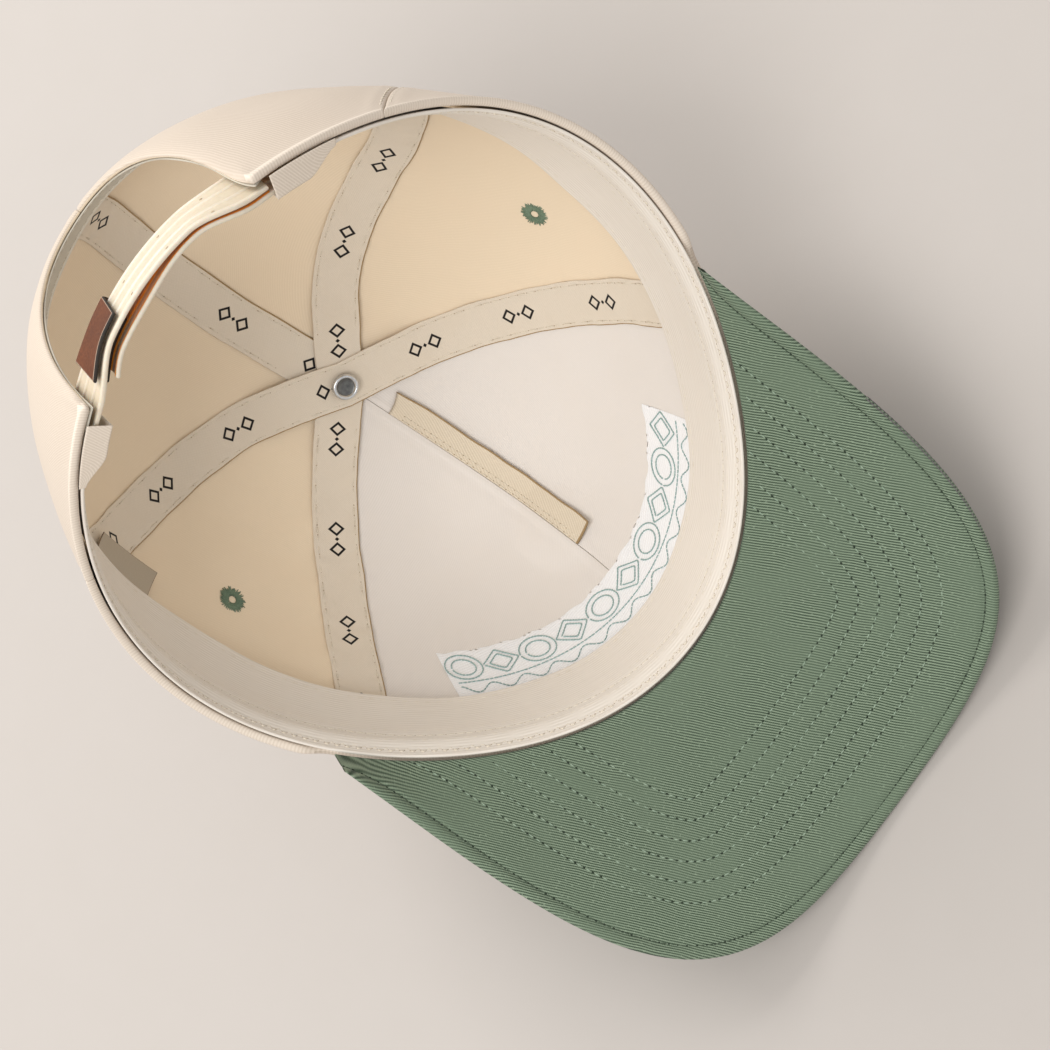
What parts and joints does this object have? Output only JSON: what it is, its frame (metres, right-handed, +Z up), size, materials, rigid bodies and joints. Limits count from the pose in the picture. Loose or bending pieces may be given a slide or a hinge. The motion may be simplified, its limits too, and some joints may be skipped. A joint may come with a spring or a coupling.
{
  "type": "baseball cap",
  "caption": "Panelled twill baseball cap with a curved stiff peak, taped seams, inner sweatband and a snap strap across the rear arch, lying crown-down.",
  "frame": {"origin": "middle of the bounding box on the surface that the cap lies on", "axes": "+X from the crown towards the tip of the peak, +Y to the wearer's right, +Z up from the surface; the head opening faces +X and up"},
  "size_m": [0.2396, 0.1898, 0.1909],
  "materials": {
    "cream_twill": "cream cotton twill, diagonal rib, matte",
    "stiffened_twill": "cream cotton twill with a pale open-weave stiffener inside, matte",
    "green_twill": "sage green cotton twill, matte, stitched in rows",
    "seam_tape": "beige-grey seam tape with edge stitching, matte",
    "sweatband_cotton": "cream cotton sweatband with stitch rows, matte",
    "arch_facing": "pale grey facing tape, matte",
    "strap_plastic": "cream moulded plastic, soft sheen",
    "tab_leather": "brown leather, matte, darker cut edge",
    "label_cloth": "grey-beige woven label, bare",
    "rivet_metal": "silver ring with a darker centre",
    "eyelet_thread": "green embroidery thread, fuzzy ends"
  },
  "bodies": {
    "root": {"panel_front_left": "stiffened_twill", "panel_front_right": "stiffened_twill", "panel_side_left": "cream_twill", "panel_side_right": "cream_twill", "panel_back_left": "cream_twill", "panel_back_right": "cream_twill", "peak": "green_twill", "sweatband": "sweatband_cotton", "tape_right_front_to_left_back": "seam_tape", "tape_right_back_to_left_front": "seam_tape", "tape_back": "seam_tape", "front_seam_flap": "cream_twill", "arch_facing": "arch_facing", "snap_strap_outer": "strap_plastic", "snap_strap_inner": "strap_plastic", "strap_tab": "tab_leather", "care_label": "label_cloth", "top_button": "green_twill", "button_rivet": "rivet_metal", "eyelet_side_right": "eyelet_thread", "eyelet_side_left": "eyelet_thread", "eyelet_back_left": "eyelet_thread", "eyelet_back_right": "eyelet_thread"}
  },
  "joints": []
}
